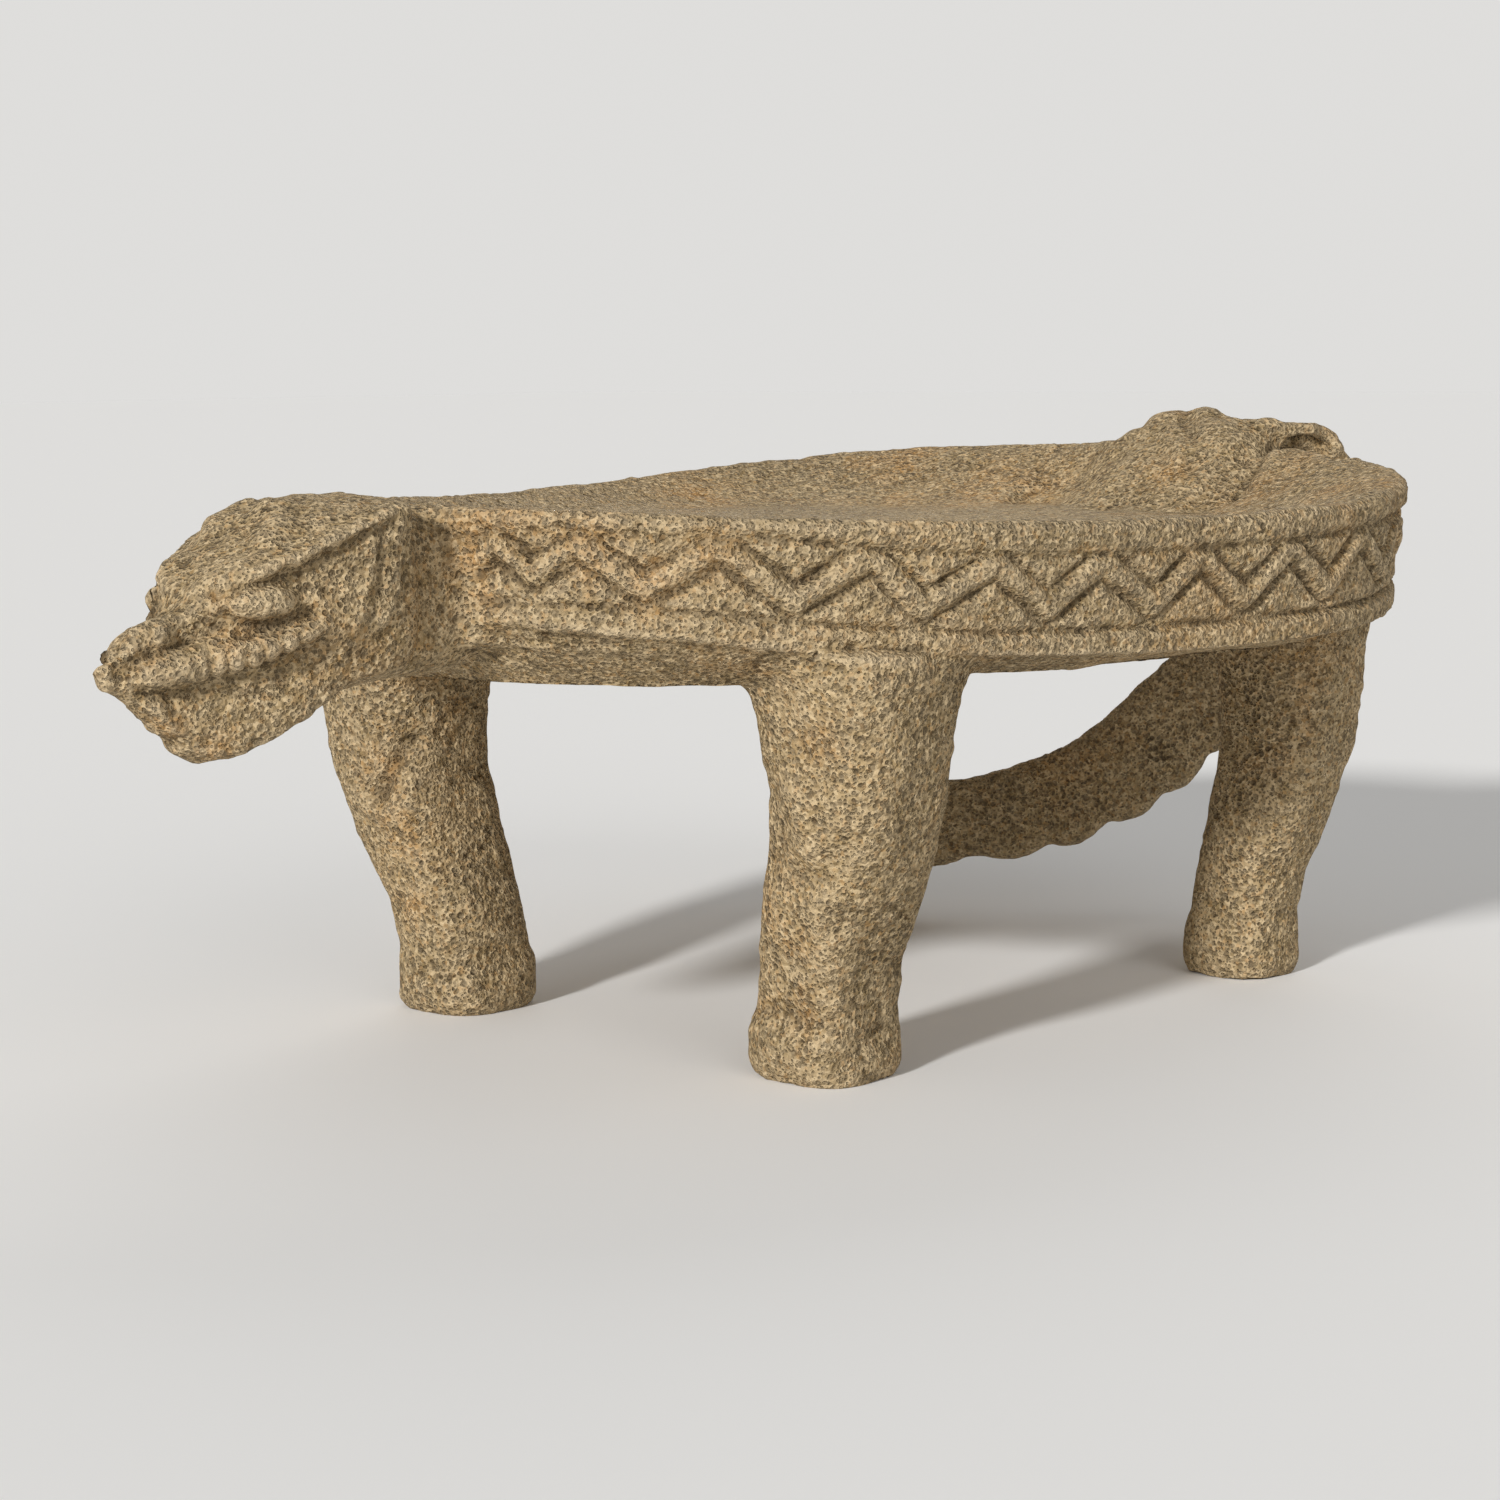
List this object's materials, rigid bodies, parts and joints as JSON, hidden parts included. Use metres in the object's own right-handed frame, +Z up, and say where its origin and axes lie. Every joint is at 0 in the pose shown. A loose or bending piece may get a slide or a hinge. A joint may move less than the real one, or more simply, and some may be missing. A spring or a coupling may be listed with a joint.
{
  "type": "carved stone metate",
  "caption": "Grinding table carved from one stone as a standing big cat: dished plate with a carved band, head, legs and a tail that curls back to a rear leg.",
  "frame": {"origin": "middle of the outer box, on the ground that the soles stand on", "axes": "+Z up, +X toward the tail, the head looks along -X, +Y toward the right legs"},
  "size_m": [0.7428, 0.4682, 0.2764],
  "materials": {
    "plate_stone": "pitted volcanic stone, pecked surface, dished grinding face worn smoother",
    "body_stone": "pitted volcanic stone, pecked surface",
    "head_stone": "pitted volcanic stone, pecked surface with ochre stains",
    "leg_stone": "pitted volcanic stone, pecked surface",
    "tail_stone": "pitted volcanic stone, pecked surface"
  },
  "bodies": {
    "root": {"grinding_plate": "plate_stone", "neck": "body_stone", "head": "head_stone", "leg_front_left": "leg_stone", "leg_front_right": "leg_stone", "leg_rear_left": "leg_stone", "leg_rear_right": "leg_stone", "tail": "tail_stone"}
  },
  "joints": []
}
